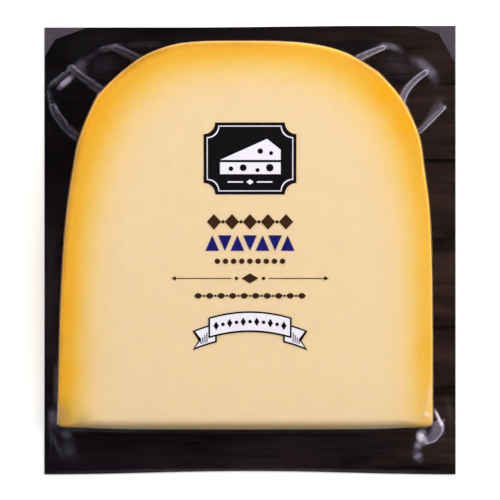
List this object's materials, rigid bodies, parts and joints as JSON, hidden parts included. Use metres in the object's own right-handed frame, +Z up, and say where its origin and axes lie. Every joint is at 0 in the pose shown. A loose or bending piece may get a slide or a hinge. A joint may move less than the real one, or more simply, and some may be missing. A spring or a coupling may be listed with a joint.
{
  "type": "vacuum packed cheese wedge",
  "caption": "Arched wedge of semi-hard cheese with rind, lying in a flat vacuum pack: dark base web below, clear folded film drawn over it.",
  "frame": {"origin": "middle of the underside of the base web's box", "axes": "+Z up from the base web to the shown side, +X across the pack, +Y along it towards the wedge's arch"},
  "size_m": [0.1234, 0.1345, 0.0247],
  "materials": {
    "cheese": "pale cream cheese, orange-yellow towards the rind, slightly waxy",
    "base_web": "nearly black plastic sheet with a printed plank pattern",
    "top_film": "clear glossy film with simple printed shapes"
  },
  "bodies": {
    "root": {"cheese": "cheese", "base_web": "base_web", "top_film": "top_film"}
  },
  "joints": []
}
